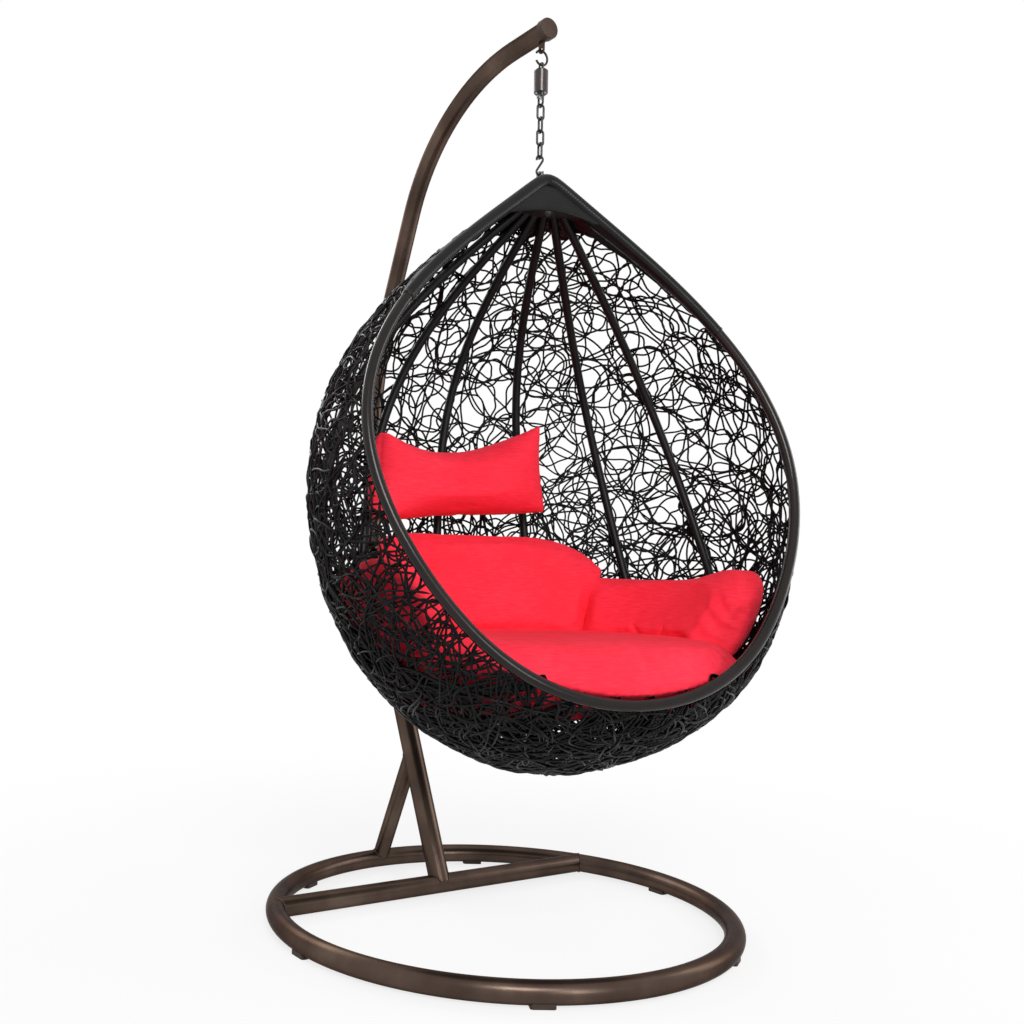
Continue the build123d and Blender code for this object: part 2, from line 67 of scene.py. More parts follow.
# ---- sizes of the basket, millimetres in its own frame: x across, y behind the hanging line, z up ----
HANG_Y = -88.8                  # the hanging line, from the middle of the ring
BASKET_TURN = -12.2             # degrees about the hanging line
APEX_Y = -39.0
APEX_Z = 1583.0
EGG_HEIGHT = 1232.0
WIDTH_TERMS = (470.0, -70.0, -42.0, -16.0, -4.0)                # half width, as a series of sines
DEPTH_TERMS = (362.0, -58.0, -31.0, -20.0, -16.0, 8.0, -4.0)    # half depth
WIDEST = 508.0                  # half width and half depth that an inset is a share of
DEEPEST = 380.0
LEAN_LINEAR = -0.125            # how the middle of the section moves with the depth below the apex
LEAN_SQUARE = 6.4e-5
MOUTH_TILT = radians(18.57)     # plane of the mouth, from vertical
EGG_CENTRE = np.array([0.0, -95.0, 960.0])  # an inner point that sees all of the wall
RIM_RADIUS = 11.0
PAD_INSET = 20.0                # back of a cushion, inside the egg
SEAT_TOP = 605.0
SEAT_FRONT = -412.0

SIDEWAYS = np.array([1.0, 0.0, 0.0])
UPWARD = np.array([0.0, 0.0, 1.0])
APEX = np.array([0.0, APEX_Y, APEX_Z])
MOUTH_DOWN = np.array([0.0, -sin(MOUTH_TILT), -cos(MOUTH_TILT)])
MOUTH_BACK = np.array([0.0, cos(MOUTH_TILT), -sin(MOUTH_TILT)])


def unit(vectors):
    """Vectors brought to length 1."""
    return vectors / np.maximum(np.linalg.norm(vectors, axis=-1, keepdims=True), 1e-9)


def closed_in(beyond, near, far, steps=18):
    """Halve between near and far, where beyond(half) is false and true, and give both ends as they close."""
    for _ in range(steps):
        half = (near + far) / 2
        past = beyond(half)
        near, far = np.where(past, near, half), np.where(past, half, far)
    return near, far


# ---- the egg ----
def series(terms, angle):
    """Sum of term n times sin(n angle), from n = 1."""
    return sum(term * np.sin((index + 1) * angle) for index, term in enumerate(terms))


def egg_section(z, inset=0.0):
    """Half width, half depth and middle of the level section at heights z, inset from the egg's surface: the two
    halves are sine series of the angle whose cosine falls evenly from the apex to the bottom."""
    depth = APEX_Z - z
    share = np.clip((depth - inset) / (EGG_HEIGHT - 2 * inset), 0, 1)
    angle = np.arccos(1 - 2 * share)
    half_width = series(WIDTH_TERMS, angle) * (1 - inset / WIDEST)
    half_depth = series(DEPTH_TERMS, angle) * (1 - inset / DEEPEST)
    return half_width, half_depth, APEX_Y + LEAN_LINEAR * depth + LEAN_SQUARE * depth**2


def wall_point(turn, z, inset):
    """A point of the wall at an ellipse angle from the middle of the back, at height z."""
    half_width, half_depth, middle = egg_section(z, inset)
    return np.stack([half_width * np.sin(turn), middle + half_depth * np.cos(turn), z + 0 * turn], -1)


def egg_along(directions, origin=EGG_CENTRE):
    """Distance from an inner point to the egg's surface along unit directions."""

    def outside(reach):
        point = origin + directions * reach[..., None]
        width, depth, middle = egg_section(point[..., 2])
        width, depth = np.maximum(width, 1e-6), np.maximum(depth, 1e-6)
        beside = (point[..., 0] / width) ** 2 + ((point[..., 1] - middle) / depth) ** 2 > 1
        return beside | (np.abs(APEX_Z - EGG_HEIGHT / 2 - point[..., 2]) > EGG_HEIGHT / 2)

    start = np.zeros(directions.shape[:-1])
    return closed_in(outside, start, start + EGG_HEIGHT)[0]


def behind_mouth(points):
    """Distance behind the plane of the mouth."""
    return (points[..., 1] - APEX_Y) * cos(MOUTH_TILT) - (points[..., 2] - APEX_Z) * sin(MOUTH_TILT)


def rim_point(angle):
    """The rim's centreline at an angle round the middle of the mouth, from the apex towards the right."""
    middle = APEX + MOUTH_DOWN * EGG_HEIGHT / 2
    direction = -MOUTH_DOWN * np.cos(angle)[..., None] + SIDEWAYS * np.sin(angle)[..., None]
    return middle + direction * egg_along(direction, middle)[..., None]


def to_world(points):
    """Basket frame in millimetres to the object's frame in metres."""
    turn = radians(BASKET_TURN)
    x = points[..., 0] * cos(turn) - points[..., 1] * sin(turn)
    y = points[..., 0] * sin(turn) + points[..., 1] * cos(turn) + HANG_Y
    return np.stack([x, y, points[..., 2]], -1) * MM


# ---- meshes ----
def grid_faces(rows, columns, closed_rows=False, closed_columns=False):
    """Quads of a grid of rows by columns, by vertex number, with either way closed into a ring."""
    row = np.arange(rows if closed_rows else rows - 1)[:, None]
    column = np.arange(columns if closed_columns else columns - 1)[None, :]
    next_row = (row + 1) % rows
    next_column = (column + 1) % columns
    corners = [row * columns + column, next_row * columns + column]
    corners += [next_row * columns + next_column, row * columns + next_column]
    return np.stack([corner.ravel() for corner in corners], -1)


def sheet_pair(front, back, closed_columns=False):
    """Vertices and faces of two grids of points that meet along their edges."""
    rows, columns = front.shape[:2]
    faces = grid_faces(rows, columns, closed_columns=closed_columns)
    vertices = np.concatenate([front.reshape(-1, 3), back.reshape(-1, 3)])
    return vertices, np.concatenate([faces, faces[:, ::-1] + rows * columns])


def new_piece(name, vertices, faces, material, merge=0.0):
    """A smooth mesh object from arrays, in metres, its close vertices merged and its faces turned out."""
    mesh = bpy.data.meshes.new(name)
    mesh.from_pydata(vertices.reshape(-1, 3).tolist(), [], faces.tolist())
    if merge:
        work = bmesh.new()
        work.from_mesh(mesh)
        bmesh.ops.remove_doubles(work, verts=work.verts, dist=merge)
        loose = [vertex for vertex in work.verts if not vertex.link_faces]
        bmesh.ops.delete(work, geom=loose, context="VERTS")
        bmesh.ops.recalc_face_normals(work, faces=work.faces)
        work.to_mesh(mesh)
        work.free()
    mesh.polygons.foreach_set("use_smooth", np.ones(len(mesh.polygons), bool))
    mesh.materials.append(material)
    piece = bpy.data.objects.new(name, mesh)
    bpy.context.scene.collection.objects.link(piece)
    return piece


def rings(path, first, second, cosine, sine, radius):
    """Rings of points round a path: radius times a section of cosine along first and sine along second."""
    section = first[..., None, :] * cosine[..., None] + second[..., None, :] * sine[..., None]
    return path[..., None, :] + section * radius[..., None]


def tube(path, radius, sides, side_hint):
    """Rings of a round tube on closed paths, each a circle in the plane across its path."""
    along = unit(np.roll(path, -1, axis=-2) - np.roll(path, 1, axis=-2))
    first = unit(side_hint - (side_hint * along).sum(-1, keepdims=True) * along)
    angle = np.arange(sides) * 2 * pi / sides
    return rings(path, first, np.cross(along, first), np.cos(angle), np.sin(angle), radius[..., None])


# ---- materials ----
def rgb(hex_colour):
    """An sRGB hex colour as linear values with alpha."""
    values = [int(hex_colour[i:i + 2], 16) / 255 for i in (1, 3, 5)]
    return [v / 12.92 if v <= 0.04045 else ((v + 0.055) / 1.055) ** 2.4 for v in values] + [1.0]


WHITE = rgb("#FFFFFF")


def plug(tree, node, inputs):
    """Set a node's inputs, each to a value, to an output, or to the first output of a node."""
    for key, value in dict(inputs).items():
        if isinstance(value, bpy.types.Node):
            value = value.outputs[0]
        if isinstance(value, bpy.types.NodeSocket):
            tree.links.new(value, node.inputs[key])
        else:
            node.inputs[key].default_value = value


def add(tree, kind, inputs=(), stops=(), **settings):
    """A node with its inputs, its settings and, if it is a colour ramp, its stops."""
    node = tree.nodes.new(kind)
    for key, value in settings.items():
        setattr(node, key, value)
    if stops:
        elements = node.color_ramp.elements
        while len(elements) < len(stops):
            elements.new(0.5)
        for element, (place, colour) in zip(elements, stops):
            element.position = place
            element.color = rgb(colour)
    plug(tree, node, inputs)
    return node


def new_material(name):
    """A material with its tree, its shader and the piece's own coordinates in metres."""
    material = bpy.data.materials.new(name)
    material.use_nodes = True
    tree = material.node_tree
    place = add(tree, "ShaderNodeTexCoord").outputs["Object"]
    return material, tree, tree.nodes["Principled BSDF"], place


def bronze_powder_coat():
    """Powder coat with metal flake over steel tube: brown, satin, with a fine orange peel of about 2 mm. Clouds
    of about 110 mm keep the long tubes from looking flat."""
    material, tree, shader, place = new_material("bronze_powder_coat")
    cloud = add(tree, "ShaderNodeTexNoise", {"Vector": place, "Scale": 9.0, "Detail": 4.0})
    stops = [(0.3, "#41352F"), (0.55, "#53453D"), (0.75, "#635449")]
    colour = add(tree, "ShaderNodeValToRGB", {"Fac": cloud}, stops)
    peel = add(tree, "ShaderNodeTexNoise", {"Vector": place, "Scale": 500.0})
    bump = add(tree, "ShaderNodeBump", {"Height": peel, "Strength": 0.12, "Distance": 0.0004})
    plug(tree, shader, {"Base Color": colour, "Metallic": 0.8, "Roughness": 0.3, "Normal": bump})
    plug(tree, shader, {"Specular Tint": rgb("#8A7A6E")})
    return material


def painted_steel(name, dark, light, roughness, metallic=0.0, coat=0.3, peel=0.06):
    """Stoved paint on steel: even colour with faint clouds of 70 mm, and a slight peel of about 3 mm that breaks
    its highlights. Paint without flake has a low specular level, so that it stays dark in a white surround."""
    material, tree, shader, place = new_material(name)
    cloud = add(tree, "ShaderNodeTexNoise", {"Vector": place, "Scale": 14.0, "Detail": 3.0})
    colour = add(tree, "ShaderNodeValToRGB", {"Fac": cloud}, [(0.3, dark), (0.7, light)])
    plug(tree, shader, {"Base Color": colour, "Metallic": metallic, "Roughness": roughness})
    plug(tree, shader, {"Coat Weight": coat, "Coat Roughness": 0.12})
    if not metallic:
        plug(tree, shader, {"Specular IOR Level": 0.2})
    if peel:
        skin = add(tree, "ShaderNodeTexNoise", {"Vector": place, "Scale": 350.0})
        bump = add(tree, "ShaderNodeBump", {"Height": skin, "Strength": peel, "Distance": 0.0004})
        plug(tree, shader, {"Normal": bump})
    return material


def resin_strand():
    """Extruded polyethylene rattan: near black, satin, with drawn streaks every few millimetres."""
    material, tree, shader, place = new_material("resin_strand")
    drawn = add(tree, "ShaderNodeMapping", {"Vector": place, "Scale": (60.0, 60.0, 260.0)})
    streak = add(tree, "ShaderNodeTexNoise", {"Vector": drawn, "Scale": 1.0})
    cloud = add(tree, "ShaderNodeTexNoise", {"Vector": place, "Scale": 22.0, "Detail": 3.0})
    stops = [(0.3, "#070708"), (0.6, "#0E0E10"), (0.8, "#1A1A1D")]
    colour = add(tree, "ShaderNodeValToRGB", {"Fac": cloud}, stops)
    bump = add(tree, "ShaderNodeBump", {"Height": streak, "Strength": 0.35, "Distance": 0.0006})
    plug(tree, shader, {"Base Color": colour, "Roughness": 0.34, "Specular IOR Level": 0.11, "Normal": bump})
    return material


def zinc_steel():
    """Bright zinc plate on turned and bent steel: pale grey, with a soft grain 1 mm wide, drawn out upwards."""
    material, tree, shader, place = new_material("zinc_steel")
    cloud = add(tree, "ShaderNodeTexNoise", {"Vector": place, "Scale": 60.0, "Detail": 3.0})
    colour = add(tree, "ShaderNodeValToRGB", {"Fac": cloud}, [(0.3, "#9A9CA0"), (0.7, "#C8CACD")])
    turned = add(tree, "ShaderNodeMapping", {"Vector": place, "Scale": (900.0, 900.0, 80.0)})
    grain = add(tree, "ShaderNodeTexNoise", {"Vector": turned, "Scale": 1.0})
    bump = add(tree, "ShaderNodeBump", {"Height": grain, "Strength": 0.1, "Distance": 0.0002})
    plug(tree, shader, {"Base Color": colour, "Metallic": 1.0, "Roughness": 0.32, "Normal": bump})
    return material


def moulded_plastic(name, dark, light, roughness):
    """Moulded plastic or rubber with a spark-eroded grain of about 1 mm."""
    material, tree, shader, place = new_material(name)
    cloud = add(tree, "ShaderNodeTexNoise", {"Vector": place, "Scale": 18.0})
    colour = add(tree, "ShaderNodeValToRGB", {"Fac": cloud}, [(0.3, dark), (0.7, light)])
    grain = add(tree, "ShaderNodeTexNoise", {"Vector": place, "Scale": 900.0})
    bump = add(tree, "ShaderNodeBump", {"Height": grain, "Strength": 0.2, "Distance": 0.0003})
    plug(tree, shader, {"Base Color": colour, "Roughness": roughness, "Specular IOR Level": 0.2, "Normal": bump})
    return material


def woven_polyester():
    """Plain-woven red polyester over fibre fill: matt, with soft slubs and wrinkles of about 60 mm. Its yarn is
    drawn every 1.6 mm, pi / 10 of one over the texture's scale, coarser than the real 1 mm so that it shows."""
    material, tree, shader, place = new_material("woven_polyester")
    cloud = add(tree, "ShaderNodeTexNoise", {"Vector": place, "Scale": 5.0, "Detail": 3.0, "Roughness": 0.55})
    thrown = add(tree, "ShaderNodeMapping", {"Vector": place, "Scale": (40.0, 40.0, 420.0)})
    slub = add(tree, "ShaderNodeTexNoise", {"Vector": thrown, "Scale": 1.0})
    mixed = add(tree, "ShaderNodeMath", {0: cloud, 1: slub}, operation="ADD")
    half = add(tree, "ShaderNodeMath", {0: mixed, 1: 0.5}, operation="MULTIPLY")
    stops = [(0.32, "#EA1E33"), (0.5, "#F42940"), (0.68, "#FB364D")]
    colour = add(tree, "ShaderNodeValToRGB", {"Fac": half}, stops)
    yarn = {"Vector": place, "Scale": 1.0 / 0.0052, "Distortion": 1.2, "Detail": 1.0}
    across, upward = (
        add(tree, "ShaderNodeTexWave", yarn, wave_type="BANDS", bands_direction=way).outputs["Fac"] for way in "XZ"
    )
    threads = add(tree, "ShaderNodeMath", {0: across, 1: upward}, operation="MAXIMUM")
    soft = add(tree, "ShaderNodeTexNoise", {"Vector": place, "Scale": 16.0, "Detail": 3.0})
    wrinkle = add(tree, "ShaderNodeBump", {"Height": soft, "Strength": 0.35, "Distance": 0.006})
    bump = add(tree, "ShaderNodeBump", {"Height": threads, "Strength": 0.3, "Distance": 0.0005, "Normal": wrinkle})
    plug(tree, shader, {"Base Color": colour, "Roughness": 0.78, "Specular IOR Level": 0.25, "Normal": bump})
    plug(tree, shader, {"Sheen Weight": 0.1, "Sheen Tint": rgb("#FF7080"), "Sheen Roughness": 0.5})
    return material


def backdrop():
    """Plain pale floor: white to the eye of the camera and to reflections, which keeps the object's soft shadow
    near the middle and loses it between 0.7 and 2.4 m out."""
    material, tree, shader, place = new_material("pale_floor")
    plug(tree, shader, {"Base Color": rgb("#F2F2F2"), "Roughness": 0.9})
    path = add(tree, "ShaderNodeLightPath").outputs
    eye = {0: path["Is Camera Ray"], 1: path["Is Glossy Ray"]}
    seen = add(tree, "ShaderNodeMath", eye, operation="MAXIMUM")
    from_middle = add(tree, "ShaderNodeVectorMath", {0: place}, operation="LENGTH").outputs["Value"]
    fade = {"Value": from_middle, "From Min": 0.7, "From Max": 2.4, "To Min": 0.78, "To Max": 1.0}
    strength = add(tree, "ShaderNodeMapRange", fade, interpolation_type="SMOOTHSTEP")
    share = add(tree, "ShaderNodeMath", {0: seen, 1: strength}, operation="MULTIPLY")
    white = add(tree, "ShaderNodeEmission", {"Color": WHITE, "Strength": 1.0})
    mix = add(tree, "ShaderNodeMixShader", {"Fac": share, 1: shader, 2: white})
    plug(tree, tree.nodes["Material Output"], {"Surface": mix})
    return material


FINISHES = {
    "stand_paint": bronze_powder_coat(),
    "rim_paint": painted_steel("rim_paint", "#0D0807", "#1A100E", 0.24, coat=0.15),
    "rib_paint": painted_steel("rib_paint", "#070708", "#0E0D0F", 0.4, coat=0.0),
    "black_steel": painted_steel("black_steel", "#121214", "#242427", 0.34, metallic=0.5),
    "cover_paint": painted_steel("cover_paint", "#1D120E", "#2C1C16", 0.34, metallic=0.3, coat=0.5, peel=0.0),
    "bracket_steel": painted_steel("grey_paint", "#202123", "#303134", 0.42),
    "weave_plastic": resin_strand(),
    "wrap_plastic": moulded_plastic("wrap_plastic", "#080809", "#121214", 0.3),
    "cap_plastic": moulded_plastic("cap_plastic", "#33271F", "#45362D", 0.4),
    "pad_rubber": moulded_plastic("pad_rubber", "#352B26", "#463A33", 0.6),
    "zinc_steel": zinc_steel(),
    "red_fabric": woven_polyester(),
}


def finish_cad_nodes():
    """Every CAD node takes the material of its slot."""
    for part in frame["record"]["subparts"]:
        node = frame["nodes"][part["node"]]
        material = FINISHES[part["material_slot"]]
        if not node.data.materials:
            node.data.materials.append(material)
        for slot in node.material_slots:
            slot.material = material


# ---- welds ----
WELD_STEPS = 180                # round one joint
BEAD_RADIUS = 2.1
BEAD_RIPPLE = 0.35              # rise and fall of the radius along each drop of weld
BEAD_DROPS = 36
BEAD_SIDES = 8
CROSSBAR_REACH = 440.0          # past where the crossbar's sides meet the ring


def outside_ring(points):
    """Distance of points from the surface of the base ring's tube, less than nothing inside."""
    from_centre = np.hypot(points[..., 0], points[..., 1]) - RING_RADIUS
    return np.hypot(from_centre, points[..., 2] - RING_Z) - TUBE_RADIUS


def short_of_ring(points):
    """The same for points that come from within the ring, with all that lies past its centre circle inside."""
    short = np.maximum(RING_RADIUS - np.hypot(points[..., 0], points[..., 1]), 0)
    return np.hypot(short, points[..., 2] - RING_Z) - TUBE_RADIUS


def outside_crossbar(points):
    """Distance of points from the surface of the crossbar."""
    return np.hypot(points[..., 1] - FOOT[1], points[..., 2] - FOOT[2]) - TUBE_RADIUS


def outside_pole(points):
    """Distance of points from the surface of the lower pole's straight foot."""
    return np.linalg.norm(np.cross(points - FOOT, POLE_AXIS), axis=-1) - POLE_RADIUS


def weld(name, start, direction, radius, outside, reach):
    """A rippled bead on the closed curve where a tube that leaves start meets another: each line of the tube's
    wall is halved between start, outside the other tube, and reach, inside it."""
    ahead = unit(np.array(direction, float))
    first = unit(np.cross(ahead, [0.3, 0.5, 0.8]))
    second = np.cross(ahead, first)
    angle = np.linspace(0, 2 * pi, WELD_STEPS, endpoint=False)[:, None]
    wall = start + radius * (first * np.cos(angle) + second * np.sin(angle))
    met = closed_in(lambda half: outside(wall + ahead * half)[:, None] <= 0, 0 * angle, 0 * angle + reach)[0]
    path = wall + ahead * met
    bead = BEAD_RADIUS + BEAD_RIPPLE * np.sin(BEAD_DROPS * angle[:, 0])
    vertices = tube(path[None], bead[None], BEAD_SIDES, unit(path - start - ahead * met)[None])
    faces = grid_faces(WELD_STEPS, BEAD_SIDES, True, True)
    piece = new_piece(name, vertices * MM, faces, FINISHES["stand_paint"], merge=1e-6)
    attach(piece, "stand")


def welds():
    """A bead at each end of the crossbar, at the foot of the pole and at each end of the strut."""
    strut = STRUT_TOP - STRUT_HEEL
    length = np.linalg.norm(strut)
    weld("right_crossbar_weld", FOOT, SIDEWAYS, TUBE_RADIUS, short_of_ring, CROSSBAR_REACH)
    weld("left_crossbar_weld", FOOT, -SIDEWAYS, TUBE_RADIUS, short_of_ring, CROSSBAR_REACH)
    weld("pole_foot_weld", STRUT_TOP, -POLE_AXIS, POLE_RADIUS, outside_crossbar, STRUT_UP)
    weld("strut_top_weld", STRUT_HEEL, strut, STRUT_RADIUS, outside_pole, length)
    weld("strut_heel_weld", STRUT_TOP, -strut, STRUT_RADIUS, outside_ring, length)


# ---- spring ----
SPRING_LOW = 1798.0             # middle of the wire at either end
SPRING_HIGH = 1832.4
SPRING_TURNS = 6
SPRING_CLOSING = 0.055          # how much the end turns are closer, as a share of the height
COIL_RADIUS = 11.0
WIRE_RADIUS = 1.5
WIRE_SIDES = 10
TURN_STEPS = 40


def spring_coil():
    """The compression spring in its cover: a helix that rises as s - c sin(2 pi s), s from 0 to 1 along it and c
    its closing, so that the end turns are closer."""
    share = np.linspace(0, 1, SPRING_TURNS * TURN_STEPS)
    turn = 2 * pi * SPRING_TURNS * share
    rise = share - SPRING_CLOSING * np.sin(2 * pi * share)
    height = SPRING_LOW + (SPRING_HIGH - SPRING_LOW) * rise
    path = np.stack([COIL_RADIUS * np.cos(turn), HANG_Y + COIL_RADIUS * np.sin(turn), height], -1)
    outward = np.stack([np.cos(turn), np.sin(turn), 0 * turn], -1)
    around = np.linspace(0, 2 * pi, WIRE_SIDES, endpoint=False)
    wire = np.full(len(share), WIRE_RADIUS)
    wire[[0, -1]] = 0
    vertices = rings(path, outward, UPWARD, np.cos(around), np.sin(around), wire[:, None])
    faces = grid_faces(len(share), WIRE_SIDES, closed_columns=True)
    piece = new_piece("spring_coil", vertices * MM, faces, FINISHES["zinc_steel"], merge=1e-6)
    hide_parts("bounce_spring")
    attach(piece, "spring_unit")
    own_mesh(piece)


# ---- weave ----
STRAND_RADIUS = 2.2
STRAND_SIDES = 6
STRAND_HOLD = 8.0               # how far a strand's end reaches into the rim, from the rim's back
STRAND_TAPER = 2.0              # over which it closes there
WEAVE_TOP = APEX_Z - 10
TRIES = 30                      # random places for each centre of a loop, of which some are left after thinning
SPARE = 5                       # and this many for each are chosen from
BEFORE_MOUTH = -30              # a centre may lie this far in front of the mouth
WANDER = ((2, 0.10), (3, 0.10), (4, 0.07), (5, 0.06), (7, 0.035), (9, 0.02))    # harmonics of a loop's radius
SWELL = ((5, 1.8), (11, 1.0))   # and of its rise off the egg, in millimetres

# count, lowest and highest centre, long half axis, short half axis, points in a loop, and lift off the egg
LAYERS = {
    "weave_wide_1": (50, (330, 1560), (130, 260), (80, 170), 120, 3.0),
    "weave_wide_2": (50, (330, 1560), (130, 260), (80, 170), 120, 5.0),
    "weave_middle_1": (290, (330, 1570), (44, 94), (40, 76), 56, 4.0),
    "weave_middle_2": (290, (330, 1570), (44, 94), (40, 76), 56, 6.5),
    "weave_lower": (130, (330, 900), (90, 190), (60, 120), 90, 7.5),
    "weave_bed_1": (130, (330, 680), (80, 200), (50, 130), 90, 5.0),
    "weave_bed_2": (130, (330, 640), (80, 200), (50, 130), 90, 9.0),
}


def loop_centres(count, lowest, highest):
    """Points of the egg's wall behind the mouth, evenly spread: tries spread by area (the length round the
    section times the slope of the wall), then each next centre is the try furthest from those chosen."""
    z = random.uniform(lowest, highest, count * TRIES)
    turn = random.uniform(0, 2 * pi, count * TRIES)
    here = wall_point(turn, z, 0.0)
    around = wall_point(turn + 1e-3, z, 0.0) - here
    upward = wall_point(turn, z + 1e-2, 0.0) - here
    area = np.linalg.norm(np.cross(around, upward), axis=-1)
    fits = (behind_mouth(here) > BEFORE_MOUTH) & (random.random(len(z)) < area / np.quantile(area, 0.98))
    tries = here[fits][: count * SPARE]
    chosen = [0]
    apart = np.linalg.norm(tries - tries[0], axis=-1)
    while len(chosen) < min(count, len(tries)):
        chosen.append(int(apart.argmax()))
        apart = np.minimum(apart, np.linalg.norm(tries - tries[chosen[-1]], axis=-1))
    return tries[chosen]


def phases(count):
    """A random angle for each strand."""
    return random.uniform(0, 2 * pi, count)[:, None]


def strand_loops(centres, long_range, short_range, points, lift):
    """Closed wandering ovals round each centre: a radius of long and short half axes in the tangent plane, in a
    random direction, with the harmonics of WANDER, carried out to the egg, with a rise and fall about lift."""
    count = len(centres)
    turn = np.linspace(0, 2 * pi, points, endpoint=False)
    long_axis = random.uniform(*long_range, count)[:, None]
    short_axis = random.uniform(*short_range, count)[:, None]
    wander = 1 + sum(
        random.uniform(0.3, 1.0, count)[:, None] * size * np.sin(order * turn + phases(count))
        for order, size in WANDER
    )
    outward = unit(centres - EGG_CENTRE)
    first = unit(np.cross(outward, random.normal(size=(count, 3))))
    second = np.cross(outward, first)
    flat = centres[:, None] + first[:, None] * (long_axis * wander * np.cos(turn))[..., None]
    flat = flat + second[:, None] * (short_axis * wander * np.sin(turn))[..., None]
    directions = unit(flat - EGG_CENTRE)
    rise = lift
    for order, size in SWELL:
        rise = rise + size * np.sin(order * turn + phases(count))
    return EGG_CENTRE + directions * (egg_along(directions) + rise)[..., None], directions


def weave_piece(name, count, heights, long_range, short_range, points, lift):
    """One layer of strands. Each strand ends inside the rim, and nothing is left in front of the mouth."""
    centres = loop_centres(count, *heights)
    path, outward = strand_loops(centres, long_range, short_range, points, lift)
    past_end = behind_mouth(path) - RIM_RADIUS + STRAND_HOLD
    taper = np.clip(past_end / STRAND_TAPER, 0, 1) * (path[..., 2] < WEAVE_TOP)
    vertices = tube(path, STRAND_RADIUS * taper, STRAND_SIDES, outward)
    faces = grid_faces(points, STRAND_SIDES, True, True)
    seen = (taper[:, faces // STRAND_SIDES] > 0).any(-1)
    loop = np.arange(len(centres))[:, None, None] * points * STRAND_SIDES
    piece = new_piece(name, to_world(vertices), (faces + loop)[seen], FINISHES["weave_plastic"], merge=1e-6)
    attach(piece, "basket")
    return piece


def weave():
    """Wide strands, then tighter ones, then a lower wall and a bed under the seat that lie over them."""
    pieces = [weave_piece(name, *layer) for name, layer in LAYERS.items()]
    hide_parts("weave_shell")


# ---- bindings at the apex ----
WRAP_END = radians(52.0)        # how far down the rim the strand is wound, on either side
WRAP_PITCH = 6.5
BINDING_RINGS = 1300
BINDING_SIDES = 20
BINDING_RADIUS = 12.2           # at the ends; thicker towards the apex
APEX_THICKER = 2.6
APEX_DEEPER = 1.5               # the section's depth behind the rim there, in radii
APEX_BEND = 60.0                # length of rim on either side of the apex that is bent, not sharp
BEND_RINGS = 20                 # over which it is softened
BINDING_RIDGE = 0.25            # height of a turn of the strand
END_BEAD = 0.9                  # height of the last turn at each end, where it is, and how wide
END_BEAD_AT = 5.0
END_BEAD_WIDTH = 2.5
END_ROUND = 1.2                 # over which each end closes


def ridges(phase):
    """0 between two turns of the wound strand to 1 on top of each, for a phase of pi a turn."""
    return np.abs(np.sin(phase)) ** 0.6


def crowned(u, v, u_power, v_power, root):
    """1 in the middle to 0 at the edges of u and v from -1 to 1, flatter in the middle with higher powers."""
    return ((1 - np.abs(u) ** u_power) * (1 - np.abs(v) ** v_power)) ** root


def bent_rim(angle):
    """Evenly spaced points of the rim, their distances along it and from the apex, with the apex rounded."""
    path = rim_point(angle)
    along = np.concatenate([[0], np.cumsum(np.linalg.norm(np.diff(path, axis=0), axis=-1))])
    even = np.linspace(0, along[-1], BINDING_RINGS)
    to_apex = np.abs(even - along[-1] / 2)
    kernel = np.hanning(2 * BEND_RINGS + 1)
    kernel /= kernel.sum()
    sharp = [np.interp(even, along, path[:, axis]) for axis in range(3)]
    soft = [np.convolve(np.pad(line, BEND_RINGS, "edge"), kernel, "valid") for line in sharp]
    path = np.where((to_apex < APEX_BEND)[:, None], np.stack(soft, -1), np.stack(sharp, -1))
    return path, even, to_apex


def rim_binding():
    """Strand wound close round the upper limbs of the rim: a tube along the rim whose radius falls from the apex
    to the ends, with one rounded ridge per turn of the strand, and a bead at each end."""
    path, even, to_apex = bent_rim(np.linspace(-WRAP_END, WRAP_END, 1500))
    share = 1 - to_apex / to_apex.max()
    end = np.minimum(even, even[-1] - even)
    bead = END_BEAD * np.exp(-((end - END_BEAD_AT) / END_BEAD_WIDTH) ** 2)
    radius = BINDING_RADIUS + APEX_THICKER * share**1.6 + bead
    first = unit(np.cross(unit(np.gradient(path, axis=0)), MOUTH_BACK))
    around = np.linspace(0, 2 * pi, BINDING_SIDES, endpoint=False)
    ridge = ridges(pi * even[:, None] / WRAP_PITCH - around[None, :] / 2)
    closing = np.clip(end / END_ROUND, 0, 1)[:, None] ** 0.5
    size = (radius[:, None] + BINDING_RIDGE * (ridge - 0.6)) * closing
    # the turns also bind the first rows of the weave behind the rim, so the section is deeper there
    deeper = np.where(np.sin(around) > 0, np.sin(around), 0)[None, :] * (APEX_DEEPER * share**1.1)[:, None]
    vertices = rings(path, first, MOUTH_BACK, np.cos(around), np.sin(around)[None, :] + deeper, size)
    faces = grid_faces(BINDING_RINGS, BINDING_SIDES, closed_columns=True)
    piece = new_piece("rim_binding", to_world(vertices), faces, FINISHES["wrap_plastic"], merge=1e-5)
    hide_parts("rim_wrap")
    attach(piece, "basket")


def wound_sheet(name, front, back):
    """A piece of wound strand between two grids of points that meet at their edges."""
    vertices, faces = sheet_pair(front, back)
    piece = new_piece(name, to_world(vertices), faces, FINISHES["wrap_plastic"], merge=2e-5)
    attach(piece, "basket")


